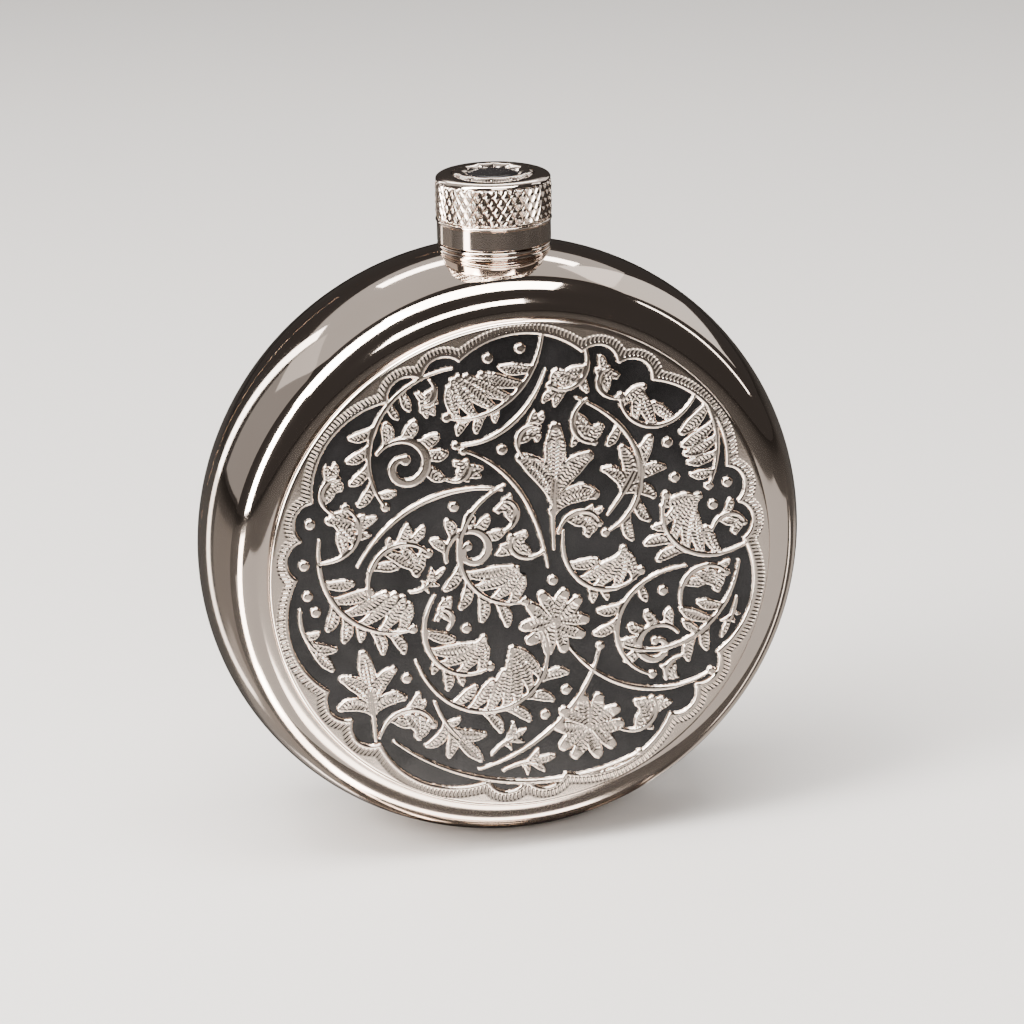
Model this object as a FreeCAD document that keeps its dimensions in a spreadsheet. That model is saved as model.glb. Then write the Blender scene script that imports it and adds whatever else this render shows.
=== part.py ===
import FreeCAD, Part
import math
import os
import Sketcher

# A round hip flask: two pressed shells brazed at the rim, an engraved round plate on the front,
# a turned threaded neck and a knurled screw cap with its seal.
# Frame: +Z up, front plate faces -Y, origin at the middle of the small flat that the flask stands on.

Vector = FreeCAD.Vector

SIZES = {
    # body shells
    "disc_radius": 50.0,
    "foot_cut": 0.5,
    "wall": 1.0,
    "half_depth": 15.9,
    "rim_width": 8.2,
    "shoulder_radius": 6.0,
    "seam_groove": 0.65,
    # front plate, and the raised panel pressed into the back
    "plate_margin": 0.4,
    "plate_height": 1.6,
    "plate_round": 0.8,
    "ground_depth": 0.7,
    "ground_cut_over": 0.7,
    "enamel_height": 0.15,
    "cusp_margin": 4.4,
    "wide_lobe_margin": 2.0,
    "wide_lobe_radius": 15.0,
    "small_lobe_margin": 2.6,
    "small_lobe_radius": 3.7,
    # neck
    "neck_radius": 6.2,
    "neck_wall": 1.8,
    "neck_inside": 3.0,
    "lip_round": 0.4,
    "solder_leg": 1.2,
    "solder_depth": 1.8,
    "collar_rise": 0.2,
    "collar_skirt": 2.6,
    "collar_groove": 0.25,
    "collar_groove_drop": 0.78,
    # screw thread
    "thread_pitch": 2.0,
    "thread_depth": 0.7,
    "thread_root_width": 1.08,
    "thread_crest_width": 0.4,
    "thread_sink": 0.14,
    "thread_gap": 0.15,
    "thread_lead_in": 1.2,
    "neck_run_out": 1.3,
    "insert_run_out": 0.8,
    # cap
    "cap_gap": 0.2,
    "cap_wall": 1.05,
    "band_height": 3.9,
    "knurl_step": 0.2,
    "knurl_height": 6.0,
    "cap_lip": 0.4,
    "dome_rise": 0.55,
    "top_wall": 2.0,
    "insert_wall": 1.05,
    "insert_inset": 0.3,
    "gasket_height": 1.2,
    "gasket_gap": 0.05,
    "gasket_side_gap": 0.3,
    "bezel_margin": 2.75,
    "bezel_seat": 0.35,
    "bezel_seat_gap": 0.15,
    "bezel_proud": 0.35,
    "bezel_lobe": 0.9,
    "bezel_notch": 0.36,
    "bezel_width": 2.1,
    "inlay_depth": 0.8,
    "inlay_sink": 0.3,
    "inlay_round_drop": 0.24,
    "inlay_round_width": 1.35,
}
LOBE_REPEATS = 7
LOBE_STEP = 360.0 / LOBE_REPEATS
# A small lobe's angle on each side of the middle between two wide lobes, as a share of the step.
SMALL_LOBE_SPREAD = 0.1
BEZEL_LOBES = 12

doc = FreeCAD.newDocument("HipFlask")
sheet = doc.addObject("Spreadsheet::Sheet", "Sizes")
for row, (alias, size) in enumerate(SIZES.items(), start=1):
    sheet.set(f"A{row}", alias)
    sheet.set(f"B{row}", str(size))
    sheet.setAlias(f"B{row}", alias)
doc.recompute()


def cell(alias):
    """The expression that reads one size from the sheet."""
    return f"Sizes.{alias}"


# Heights above the foot, each worked out from the one below it.
CENTRE = f"({cell('disc_radius')} - {cell('foot_cut')})"
CROWN = f"({CENTRE} + {cell('disc_radius')})"
COLLAR_TOP = f"({CROWN} + {cell('collar_rise')})"
COLLAR_BOTTOM = f"({COLLAR_TOP} - {cell('collar_skirt')})"
CAP_BOTTOM = f"({COLLAR_TOP} + {cell('cap_gap')})"
KNURL_BOTTOM = f"({CAP_BOTTOM} + {cell('band_height')})"
KNURL_TOP = f"({KNURL_BOTTOM} + {cell('knurl_height')})"
LIP_TOP = f"({KNURL_TOP} + {cell('cap_lip')})"
CAP_TOP = f"({LIP_TOP} + {cell('dome_rise')})"
CAP_CEILING = f"({CAP_TOP} - {cell('top_wall')})"
GASKET_TOP = f"({CAP_CEILING} - {cell('gasket_gap')})"
GASKET_BOTTOM = f"({GASKET_TOP} - {cell('gasket_height')})"
NECK_LIP = f"({GASKET_BOTTOM} - {cell('gasket_gap')})"
NECK_BOTTOM = f"({CROWN} - {cell('wall')} - {cell('neck_inside')})"
INSERT_BOTTOM = f"({CAP_BOTTOM} + {cell('insert_inset')})"
INSERT_TOP = f"({NECK_LIP} - {cell('thread_gap')})"
BEZEL_BOTTOM = f"({CAP_TOP} - {cell('bezel_seat')})"
BEZEL_TOP = f"({CAP_TOP} + {cell('bezel_proud')})"
INLAY_TOP = f"({BEZEL_TOP} - {cell('inlay_sink')})"
INLAY_BOTTOM = f"({INLAY_TOP} - {cell('inlay_depth')})"
SCREW_LINE = f"({COLLAR_TOP} + {cell('thread_lead_in')})"
# Radii on the face of the body, each inside the one before it.
PLATEAU = f"({cell('disc_radius')} - {cell('rim_width')})"
PLATE = f"({PLATEAU} - {cell('plate_margin')})"
CUSP = f"({PLATE} - {cell('cusp_margin')})"
# Radii about the neck axis: the neck, the threads, and the cap round them.
NECK_BORE = f"({cell('neck_radius')} - {cell('neck_wall')})"
CREST = f"({cell('neck_radius')} + {cell('thread_depth')})"
INSERT_BORE = f"({CREST} + {cell('thread_gap')})"
INSERT_CREST = f"({cell('neck_radius')} + {cell('thread_gap')})"
INSERT_OUTSIDE = f"({INSERT_BORE} + {cell('insert_wall')})"
BAND = f"({INSERT_OUTSIDE} + {cell('cap_wall')})"
KNURL = f"({BAND} + {cell('knurl_step')})"
BEZEL = f"({KNURL} - {cell('bezel_margin')})"
INLAY = f"({BEZEL} - {cell('bezel_width')})"


def number(expression):
    """The value that an expression has now, as a plain number."""
    value = sheet.evalExpression(expression)
    return float(getattr(value, "Value", value))


def origin_plane(body, role):
    return next(f for f in body.Origin.OriginFeatures if f.Role == role)


def new_sketch(body, name, role):
    """A sketch on one of the body's own planes."""
    sketch = body.newObject("Sketcher::SketchObject", name)
    sketch.AttachmentSupport = [(origin_plane(body, role), "")]
    sketch.MapMode = "FlatFace"
    return sketch


def dimension(sketch, kind, geometry, point, expression):
    """Dimensions one point of a sketch from its origin, across (DistanceX) or up (DistanceY)."""
    size = number(expression)
    index = sketch.addConstraint(Sketcher.Constraint(kind, -1, 1, geometry, point, size))
    sketch.setExpression(f"Constraints[{index}]", expression)


def pin(sketch, geometry, point, across, up):
    dimension(sketch, "DistanceX", geometry, point, across)
    dimension(sketch, "DistanceY", geometry, point, up)


def set_radius(sketch, geometry, radius):
    index = sketch.addConstraint(Sketcher.Constraint("Radius", geometry, number(radius)))
    sketch.setExpression(f"Constraints[{index}]", radius)


def closed_outline(sketch, corners):
    """A closed outline of straight lines through corners, each a pair of expressions."""
    points = [Vector(number(across), number(up), 0) for across, up in corners]
    count = len(corners)
    for i in range(count):
        sketch.addGeometry(Part.LineSegment(points[i], points[(i + 1) % count]), False)
    for i in range(count):
        sketch.addConstraint(Sketcher.Constraint("Coincident", i, 2, (i + 1) % count, 1))
    for i, (across, up) in enumerate(corners):
        pin(sketch, i, 1, across, up)


def circle(sketch, radius, across="0", up="0"):
    centre = Vector(number(across), number(up), 0)
    index = sketch.addGeometry(Part.Circle(centre, Vector(0, 0, 1), number(radius)), False)
    set_radius(sketch, index, radius)
    pin(sketch, index, 3, across, up)


def new_body(label):
    body = doc.addObject("PartDesign::Body", label)
    body.Label = label
    return body


def turned(label, corners):
    """A body turned about the neck axis from a closed outline of (radius, height) corners."""
    body = new_body(label)
    sketch = new_sketch(body, f"{label}_outline", "XZ_Plane")
    closed_outline(sketch, corners)
    turn = body.newObject("PartDesign::Revolution", f"{label}_turn")
    turn.Profile = sketch
    turn.ReferenceAxis = (sketch, ["V_Axis"])
    doc.recompute()
    return body


def ring(label, inner, outer, bottom, top):
    return turned(label, [(inner, bottom), (outer, bottom), (outer, top), (inner, top)])


def add_thread(body, root, crest, start, end):
    """A right-hand ridge of trapezoid section about the neck axis, from start up to end.

    root is the expression of the radius that its foot reaches, a little inside the body's wall."""
    sketch = new_sketch(body, f"{body.Label}_ridge", "XZ_Plane")
    foot_half = f"{cell('thread_root_width')} / 2"
    crest_half = f"{cell('thread_crest_width')} / 2"
    closed_outline(
        sketch,
        [
            (root, f"{start} - {foot_half}"),
            (crest, f"{start} - {crest_half}"),
            (crest, f"{start} + {crest_half}"),
            (root, f"{start} + {foot_half}"),
        ],
    )
    ridge = body.newObject("PartDesign::AdditiveHelix", f"{body.Label}_thread")
    ridge.Profile = sketch
    ridge.ReferenceAxis = (sketch, ["V_Axis"])
    ridge.Mode = 0
    ridge.setExpression("Pitch", cell("thread_pitch"))
    ridge.setExpression("Height", f"{end} - {start}")
    doc.recompute()


def add_arc(sketch, centre, start, end):
    """A short arc about centre between two points. Returns which of its ends, 1 or 2, each point is."""
    radius = centre.distanceToPoint(start)
    angles = [math.atan2(p.y - centre.y, p.x - centre.x) % (2.0 * math.pi) for p in (start, end)]
    full = Part.Circle(centre, Vector(0, 0, 1), radius)
    sketch.addGeometry(Part.ArcOfCircle(full, min(angles), max(angles)), False)
    return (1, 2) if angles[0] < angles[1] else (2, 1)


def half_disc(label, side, inset):
    """Half of the disc's form, on one side of the seam plane (-1 front, 1 back), inset by a wall.

    Its section is a flat face, a shoulder arc and a rim arc centred in the seam plane, all tangent."""
    body = new_body(label)
    sketch = new_sketch(body, f"{label}_section", "YZ_Plane")
    face, rim = f"{cell('half_depth')} - {inset}", f"{cell('disc_radius')} - {inset}"
    shoulder, flat = f"{cell('shoulder_radius')} - {inset}", PLATEAU
    reach = number(rim) - number(flat)
    rise = number(face) - number(shoulder)
    bend = number(shoulder)
    rim_arc = (reach**2 + rise**2 - bend**2) / (2.0 * (reach - bend))
    face_end = Vector(side * number(face), number(flat), 0)
    bend_centre = Vector(side * rise, number(flat), 0)
    arc_centre = Vector(0, number(rim) - rim_arc, 0)
    crown = Vector(0, number(rim), 0)
    meeting = arc_centre + (bend_centre - arc_centre).normalize() * rim_arc
    hub, hub_face = Vector(0, 0, 0), Vector(side * number(face), 0, 0)
    sketch.addGeometry(Part.LineSegment(hub_face, face_end), False)
    bend_start, bend_end = add_arc(sketch, bend_centre, face_end, meeting)
    rim_start, rim_end = add_arc(sketch, arc_centre, meeting, crown)
    sketch.addGeometry(Part.LineSegment(crown, hub), False)
    sketch.addGeometry(Part.LineSegment(hub, hub_face), False)
    for constraint in (
        ("Tangent", 0, 2, 1, bend_start),
        ("Tangent", 1, bend_end, 2, rim_start),
        ("Coincident", 2, rim_end, 3, 1),
        ("Coincident", 3, 2, 4, 1),
        ("Coincident", 4, 2, 0, 1),
        ("PointOnObject", 2, 3, -2),
        ("Coincident", 3, 2, -1, 1),
        ("PointOnObject", 0, 1, -1),
        ("PointOnObject", 3, 1, -2),
        ("Vertical", 0),
    ):
        sketch.addConstraint(Sketcher.Constraint(*constraint))
    set_radius(sketch, 1, shoulder)
    for geometry, point, kind, expression in (
        (0, 2, "DistanceX", f"{side} * ({face})"),
        (0, 2, "DistanceY", flat),
        (3, 1, "DistanceY", rim),
    ):
        dimension(sketch, kind, geometry, point, expression)
    turn = body.newObject("PartDesign::Revolution", f"{label}_turn")
    turn.Profile = sketch
    turn.ReferenceAxis = (sketch, ["H_Axis"])
    body.setExpression("Placement.Base.z", CENTRE)
    doc.recompute()
    return body


def combined(kind, label, base, tool):
    """A Part::Cut or Part::Common of two objects, refined."""
    made = doc.addObject(kind, label)
    made.Label = label
    made.Base = base
    made.Tool = tool
    made.Refine = True
    doc.recompute()
    return made


def fused(label, *pieces):
    made = doc.addObject("Part::MultiFuse", label)
    made.Label = label
    made.Shapes = list(pieces)
    made.Refine = True
    doc.recompute()
    return made


def pad(body, name, height, away=True):
    """Pads the body's last sketch by height, along its normal (-Y on the XZ plane)."""
    made = body.newObject("PartDesign::Pad", name)
    made.Profile = body.getObject(f"{name}_sketch")
    made.setExpression("Length", height)
    made.Reversed = not away
    doc.recompute()
    return made


def repeat(body, feature, name, axis, count):
    pattern = body.newObject("PartDesign::PolarPattern", name)
    pattern.Originals = [feature]
    pattern.Axis = (origin_plane(body, axis), [""])
    pattern.Angle = 360
    pattern.Occurrences = count
    body.Tip = pattern
    doc.recompute()


def round_slab(label, radius, height, forward=True):
    """A disc square to Y, growing towards -Y, or towards +Y if forward is False, with its rim rounded."""
    body = new_body(label)
    circle(new_sketch(body, f"{label}_pad_sketch", "XZ_Plane"), radius)
    disc = pad(body, f"{label}_pad", height, away=forward)
    edges = disc.Shape.Edges
    far = max(range(len(edges)), key=lambda i: abs(edges[i].BoundBox.Center.y))
    rim = body.newObject("PartDesign::Fillet", f"{label}_rim")
    rim.Base = (disc, [f"Edge{far + 1}"])
    rim.setExpression("Radius", cell("plate_round"))
    doc.recompute()
    return body


def lobed_slab(label, height):
    """A slab with the outline of the sunk ground: a disc, and wide and small round lobes in turn."""
    body = new_body(label)
    circle(new_sketch(body, f"{label}_disc_sketch", "XZ_Plane"), CUSP)
    pad(body, f"{label}_disc", height)
    for name, size, share in (
        ("wide", "wide_lobe", 0.0),
        ("small_left", "small_lobe", 0.5 - SMALL_LOBE_SPREAD),
        ("small_right", "small_lobe", 0.5 + SMALL_LOBE_SPREAD),
    ):
        turn = 90.0 + share * LOBE_STEP
        radius = cell(f"{size}_radius")
        arm = f"({PLATE} - {cell(f'{size}_margin')} - {radius})"
        feature = f"{label}_{name}"
        sketch = new_sketch(body, f"{feature}_sketch", "XZ_Plane")
        circle(sketch, radius, f"{arm} * cos({turn} deg)", f"{arm} * sin({turn} deg)")
        repeat(body, pad(body, feature, height), f"{feature}_pattern", "Y_Axis", LOBE_REPEATS)
    return body


def lift(made, across=None, up=None):
    """Places an object along Y and Z by expressions."""
    if across is not None:
        made.setExpression("Placement.Base.y", across)
    if up is not None:
        made.setExpression("Placement.Base.z", up)
    doc.recompute()
    return made


def seam_ring(label):
    """The braze that fills the V groove along the rim, its outside flush with the crown."""
    body = new_body(label)
    groove, rim = cell("seam_groove"), cell("disc_radius")
    corners = [(f"-{groove}", rim), ("0", f"{rim} - {groove}"), (groove, rim)]
    sketch = new_sketch(body, f"{label}_section", "YZ_Plane")
    closed_outline(sketch, corners)
    turn = body.newObject("PartDesign::Revolution", f"{label}_turn")
    turn.Profile = sketch
    turn.ReferenceAxis = (sketch, ["H_Axis"])
    return lift(body, up=CENTRE)


def neck_and_foot_cutter():
    """What is taken off the rim: the hole for the neck at the top and the foot's flat at the bottom."""
    hole = doc.addObject("Part::Cylinder", "neck_hole")
    hole.setExpression("Radius", cell("neck_radius"))
    hole.setExpression("Height", cell("disc_radius"))
    lift(hole, up=CENTRE)
    foot = doc.addObject("Part::Box", "foot_block")
    foot.setExpression("Length", cell("disc_radius"))
    foot.setExpression("Width", f"2 * {cell('half_depth')}")
    foot.setExpression("Height", cell("foot_cut"))
    foot.setExpression("Placement.Base.x", f"-0.5 * {cell('disc_radius')}")
    lift(foot, across=f"-{cell('half_depth')}", up=f"-{cell('foot_cut')}")
    return fused("neck_and_foot", hole, foot)


def body_pieces():
    """The two shells, their braze, the neck's solder and collar, and the front plate with its enamel."""
    outside = [half_disc("front_form", -1, "0"), half_disc("back_form", 1, "0")]
    hollow = [half_disc("front_hollow", -1, cell("wall")), half_disc("back_hollow", 1, cell("wall"))]
    panel = round_slab("back_panel", PLATE, cell("plate_height"), forward=False)
    lift(panel, across=cell("half_depth"), up=CENTRE)
    recess = doc.addObject("Part::Cylinder", "panel_recess")
    recess.Placement.Rotation = FreeCAD.Rotation(Vector(1, 0, 0), -90)
    recess.setExpression("Radius", f"{PLATE} - {cell('wall')}")
    recess.setExpression("Height", cell("plate_height"))
    lift(recess, across=f"{cell('half_depth')} - {cell('wall')}", up=CENTRE)
    opened = neck_and_foot_cutter()
    groove_ring = seam_ring("seam_ring")
    front_cuts = fused("front_cuts", hollow[0], opened, groove_ring)
    back_cuts = fused("back_cuts", hollow[1], recess, opened, groove_ring)
    back_blank = fused("back_blank", outside[1], panel)
    envelope = fused("disc_form", *outside)
    cavity = fused("cavity_form", *hollow)

    plate_blank = round_slab("plate_blank", PLATE, cell("plate_height"))
    lift(plate_blank, across=f"-{cell('half_depth')}", up=CENTRE)
    ground = f"-({cell('half_depth')} + {cell('plate_height')} - {cell('ground_depth')})"
    cut_height = f"{cell('ground_depth')} + {cell('ground_cut_over')}"
    sink = lift(lobed_slab("ground_cutter", cut_height), ground, CENTRE)
    enamel = lift(lobed_slab("ground_enamel", cell("enamel_height")), ground, CENTRE)

    groove_at = f"({COLLAR_TOP} - {cell('collar_groove_drop')})"
    groove, reach = cell("collar_groove"), BAND
    collar_blank = turned(
        "collar_blank",
        [
            (cell("neck_radius"), COLLAR_BOTTOM),
            (reach, COLLAR_BOTTOM),
            (reach, f"{groove_at} - {groove}"),
            (f"{reach} - {groove}", groove_at),
            (reach, f"{groove_at} + {groove}"),
            (reach, COLLAR_TOP),
            (cell("neck_radius"), COLLAR_TOP),
        ],
    )
    solder_blank = ring(
        "solder_blank",
        cell("neck_radius"),
        f"{cell('neck_radius')} + {cell('solder_leg')}",
        f"{CROWN} - {cell('wall')} - {cell('solder_depth')}",
        CROWN,
    )
    return [
        combined("Part::Cut", "front_shell", outside[0], front_cuts),
        combined("Part::Cut", "back_shell", back_blank, back_cuts),
        combined("Part::Cut", "seam_braze", groove_ring, opened),
        combined("Part::Cut", "medallion_plate", plate_blank, sink),
        enamel,
        combined("Part::Cut", "neck_collar", collar_blank, envelope),
        combined("Part::Common", "neck_solder", solder_blank, cavity),
    ]


def neck_piece():
    """The turned neck: a plain tube below, a screw thread above and a rounded drinking lip."""
    tube, bevel = cell("neck_radius"), cell("lip_round")
    body = turned(
        "neck",
        [
            (NECK_BORE, NECK_BOTTOM),
            (tube, NECK_BOTTOM),
            (tube, f"{NECK_LIP} - {bevel}"),
            (f"{tube} - {bevel}", NECK_LIP),
            (NECK_BORE, NECK_LIP),
        ],
    )
    end = f"({NECK_LIP} - {cell('neck_run_out')})"
    add_thread(body, f"{tube} - {cell('thread_sink')}", CREST, SCREW_LINE, end)
    return body


def cap_pieces():
    """The knurled cap, its threaded insert, the bezel and black inlay on top, and the seal inside."""
    shell = turned(
        "cap_shell",
        [
            (INSERT_OUTSIDE, CAP_BOTTOM),
            (BAND, CAP_BOTTOM),
            (BAND, f"{KNURL_BOTTOM} - {cell('knurl_step')}"),
            (KNURL, KNURL_BOTTOM),
            (KNURL, LIP_TOP),
            (f"{BEZEL} + {cell('bezel_seat_gap')}", CAP_TOP),
            (BEZEL, CAP_TOP),
            (BEZEL, BEZEL_BOTTOM),
            (INLAY, BEZEL_BOTTOM),
            (INLAY, INLAY_BOTTOM),
            ("0", INLAY_BOTTOM),
            ("0", CAP_CEILING),
            (INSERT_OUTSIDE, CAP_CEILING),
        ],
    )
    insert = ring("cap_insert", INSERT_BORE, INSERT_OUTSIDE, INSERT_BOTTOM, INSERT_TOP)
    start = f"({SCREW_LINE} + {cell('thread_pitch')} / 2)"
    end = f"({INSERT_TOP} - {cell('insert_run_out')})"
    add_thread(insert, f"{INSERT_BORE} + {cell('thread_sink')}", INSERT_CREST, start, end)
    seal = f"({INSERT_OUTSIDE} - {cell('gasket_side_gap')})"
    gasket = turned(
        "cap_gasket",
        [("0", GASKET_BOTTOM), (seal, GASKET_BOTTOM), (seal, GASKET_TOP), ("0", GASKET_TOP)],
    )
    rise = f"({BEZEL_TOP} - {BEZEL_BOTTOM})"
    lobe = cell("bezel_lobe")
    scalloped = new_body("cap_bezel")
    sketch = new_sketch(scalloped, "cap_bezel_ring_sketch", "XY_Plane")
    circle(sketch, f"{BEZEL} - {cell('bezel_notch')}")
    circle(sketch, INLAY)
    pad(scalloped, "cap_bezel_ring", rise)
    circle(new_sketch(scalloped, "cap_bezel_lobe_sketch", "XY_Plane"), lobe, f"{BEZEL} - {lobe}")
    repeat(scalloped, pad(scalloped, "cap_bezel_lobe", rise), "cap_bezel_lobes", "Z_Axis", BEZEL_LOBES)
    lift(scalloped, up=BEZEL_BOTTOM)
    crown = turned(
        "cap_inlay",
        [
            ("0", INLAY_BOTTOM),
            (INLAY, INLAY_BOTTOM),
            (INLAY, f"{INLAY_TOP} - {cell('inlay_round_drop')}"),
            (f"{INLAY} - {cell('inlay_round_width')}", INLAY_TOP),
            ("0", INLAY_TOP),
        ],
    )
    return [shell, insert, gasket, scalloped, crown]


def check(made):
    """Stops the build at any failed object or unsound piece."""
    failed = [o.Name for o in doc.Objects if {"Invalid", "Error"} & set(o.State)]
    if failed:
        raise RuntimeError(f"these objects failed: {failed}")
    for piece in made:
        shape = piece.Shape
        if shape.isNull() or not shape.isValid() or len(shape.Solids) != 1:
            raise RuntimeError(f"{piece.Label} is not one valid solid")


pieces = body_pieces() + [neck_piece()] + cap_pieces()
doc.recompute()
check(pieces)
os.makedirs("parts", exist_ok=True)
for piece in pieces:
    piece.Shape.exportStep(f"parts/{piece.Label}.step")
    print(f"{piece.Label}: {piece.Shape.Volume:.1f} mm3")
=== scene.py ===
import math

import bmesh
import bpy
import numpy as np
from mathutils import Matrix, Vector


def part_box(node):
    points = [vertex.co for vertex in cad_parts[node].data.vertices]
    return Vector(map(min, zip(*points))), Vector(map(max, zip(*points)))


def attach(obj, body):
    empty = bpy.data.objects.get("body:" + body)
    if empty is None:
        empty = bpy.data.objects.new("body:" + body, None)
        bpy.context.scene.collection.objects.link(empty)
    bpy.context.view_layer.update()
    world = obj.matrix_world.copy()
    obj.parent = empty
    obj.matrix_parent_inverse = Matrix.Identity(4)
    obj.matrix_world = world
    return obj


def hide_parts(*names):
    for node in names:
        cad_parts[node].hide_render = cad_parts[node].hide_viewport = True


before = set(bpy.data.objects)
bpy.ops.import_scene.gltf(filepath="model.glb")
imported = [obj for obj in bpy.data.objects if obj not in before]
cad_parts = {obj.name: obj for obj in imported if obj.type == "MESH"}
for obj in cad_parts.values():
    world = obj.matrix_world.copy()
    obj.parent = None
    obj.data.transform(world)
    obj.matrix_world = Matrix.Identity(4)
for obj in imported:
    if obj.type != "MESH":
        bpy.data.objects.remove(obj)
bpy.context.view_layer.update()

# A round hip flask: polished shells, a die-struck plate with acanthus scrolls on black enamel,
# and a knurled screw cap. Sections and ornament are worked out in mm and put in the frame in metres.
MM = 0.001
plate_low, plate_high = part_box("medallion_plate")
braze_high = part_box("seam_braze")[1]
collar_low, collar_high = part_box("neck_collar")
cap_low, cap_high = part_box("cap_shell")
insert_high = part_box("cap_insert")[1]
bezel_low, bezel_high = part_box("cap_bezel")
inlay_low, inlay_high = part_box("cap_inlay")
enamel_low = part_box("ground_enamel")[0]
back_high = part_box("back_shell")[1]

CENTRE = 0.5 * (plate_low.z + plate_high.z) / MM
DISC = braze_high.x / MM
PLATE = plate_high.x / MM
FACE = -plate_high.y / MM
PLATE_FACE = -plate_low.y / MM
BACK_PANEL = back_high.y / MM
ENAMEL_TOP = -enamel_low.y / MM
# The body: its walls, the bend from rim to face, how far the rim reaches in, and the seam.
WALL, SHOULDER, RIM_WIDTH, SEAM_GROOVE = 1.0, 6.0, 8.2, 0.65
PLATE_ROUND = 0.8
NECK_HOLE = 6.2
BODY_AROUND, HOLE_AROUND, COLLAR_AROUND, BEZEL_AROUND = 512, 128, 256, 720
# The struck plate: how far the metal goes under the enamel, its rounded edges, the height below which
# it isn't made, its hatching, its milled band and its mesh.
ENAMEL_SINK, EDGE, HIDDEN = 0.12, 0.42, 0.02
HATCH, ROW, HATCH_DEPTH = 0.6, 1.2, 0.15
BAND_START, BAND_WIDTH, MILL_COUNT, MILL_DEPTH = 0.35, 1.15, 390, 0.14
PLATE_POINTS, PLATE_STEP, HALVE_BELOW = 1800, 0.15, 0.62
# The cap: its band, its diamond knurl and the scalloped bezel with its milling.
KNURL_STEP, BAND_HEIGHT, KNURL_HEIGHT, CAP_TOP_WALL = 0.2, 3.9, 6.0, 2.0
KNURL_COUNT, KNURL_PITCH, KNURL_DEPTH, KNURL_SAMPLES, KNURL_POINT = 38, 2.4, 0.42, 20, 1.9
BEZEL_LOBES, BEZEL_NOTCH, BEZEL_DROP = 12, 0.4, 0.38
BEZEL_MILLS, BEZEL_MILL_DEPTH = 84.0, 0.03


# ---------------------------------------------------------------- mesh helpers
def mesh_object(name, points, faces, sharp=40.0):
    """A smooth mesh in metres from points in mm and a list of face arrays, each of one face size."""
    mesh = bpy.data.meshes.new(name)
    mesh.vertices.add(len(points))
    mesh.vertices.foreach_set("co", (np.asarray(points, float) * MM).astype(np.float32).ravel())
    sizes = np.concatenate([np.full(len(group), group.shape[1]) for group in faces])
    corners = np.concatenate([group.ravel() for group in faces])
    mesh.loops.add(len(corners))
    mesh.loops.foreach_set("vertex_index", corners.astype(np.int32))
    mesh.polygons.add(len(sizes))
    mesh.polygons.foreach_set("loop_start", np.concatenate([[0], np.cumsum(sizes)[:-1]]).astype(np.int32))
    mesh.polygons.foreach_set("use_smooth", np.ones(len(sizes), bool))
    mesh.update(calc_edges=True)
    mesh.validate()
    mesh.set_sharp_from_angle(angle=math.radians(sharp))
    made = bpy.data.objects.new(name, mesh)
    bpy.context.scene.collection.objects.link(made)
    return made


def turned_points(profile, count, axis):
    """Rings of points of a profile of (radius, height) turned about the neck axis or the disc's axis."""
    profile = np.asarray(profile, float)
    angle = np.linspace(0.0, 2.0 * math.pi, count, endpoint=False)
    radius, height = profile[:, 0][:, None], profile[:, 1][:, None] + 0.0 * angle
    if axis == "neck":
        return np.stack([radius * np.cos(angle), radius * np.sin(angle), height], 2)
    return np.stack([radius * np.cos(angle), height, CENTRE + radius * np.sin(angle)], 2)


def ring_faces(rings, count, closed):
    """Quads between rings of count points, and from the last ring back to the first if closed."""
    here = np.arange(count)
    after = (here + 1) % count
    pairs = [(r, (r + 1) % rings) for r in range(rings if closed else rings - 1)]
    quads = [(a * count + here, a * count + after, b * count + after, b * count + here) for a, b in pairs]
    return np.concatenate([np.stack(corners, 1) for corners in quads])


def turned(name, profile, count, axis, closed=True, sharp=40.0):
    """A solid of revolution: a closed ring, or else a shape whose two ends near the axis are filled."""
    points = turned_points(profile, count, axis)
    faces = [ring_faces(len(profile), count, closed)]
    if not closed:
        first = np.arange(count)[None, :]
        faces += [first, first + (len(profile) - 1) * count]
    return mesh_object(name, points.reshape(-1, 3), faces, sharp)


def arc(centre, radius, start, end, count):
    """Points of an arc about centre from start to end degrees, both ends in."""
    angle = np.radians(np.linspace(start, end, count))
    return [(centre[0] + radius * math.cos(a), centre[1] + radius * math.sin(a)) for a in angle]


def outward(made):
    """Turns every face of a closed mesh outwards."""
    work = bmesh.new()
    work.from_mesh(made.data)
    bmesh.ops.recalc_face_normals(work, faces=work.faces)
    work.to_mesh(made.data)
    work.free()
    return made


# ---- the ornament, in mm on the plate's face: x to the right, z up, from the plate's middle ----
# The ground's border has seven wide lobes with two small ones between each pair.
LOBES = 7
LOBE_STEP = 2.0 * math.pi / LOBES
CUSP = 37.0
WIDE_LOBE, SMALL_LOBE = (39.4, 15.0), (38.8, 3.7)
LOBE_PLACES = ((0.0, *WIDE_LOBE), (0.4, *SMALL_LOBE), (0.6, *SMALL_LOBE))
# Cells of the carving's fine and coarse maps, and half the width that they cover.
FINE, COARSE, EXTENT = 0.09, 0.4, 40.0
# The depth where there is no metal, and how far round itself a stroke takes room.
NOTHING, REACH = -9.0, 9.0
# Bare ground kept between motifs and at the border, the groove beside a rib, and the stems' half width.
GAP, BORDER_GAP, RIB_GROOVE = 0.42, 0.9, 0.1
STEM, TIP_FADE = 0.32, 0.06
LEAF_POINTS, FINGER_POINTS, PALMETTE_POINTS, SNAIL_POINTS, STEM_POINTS = 50, 12, 20, 64, 40
MOST_BERRIES, LARGEST_BERRY, SMALLEST_ROOM = 18, 0.95, 0.9
LARGEST_LEAF, SMALLEST_LEAF, LARGEST_PALMETTE, SMALLEST_PALMETTE = 24.0, 4.9, 13.0, 6.6
HEADINGS = np.arange(0.0, 360.0, 24.0)


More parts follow.
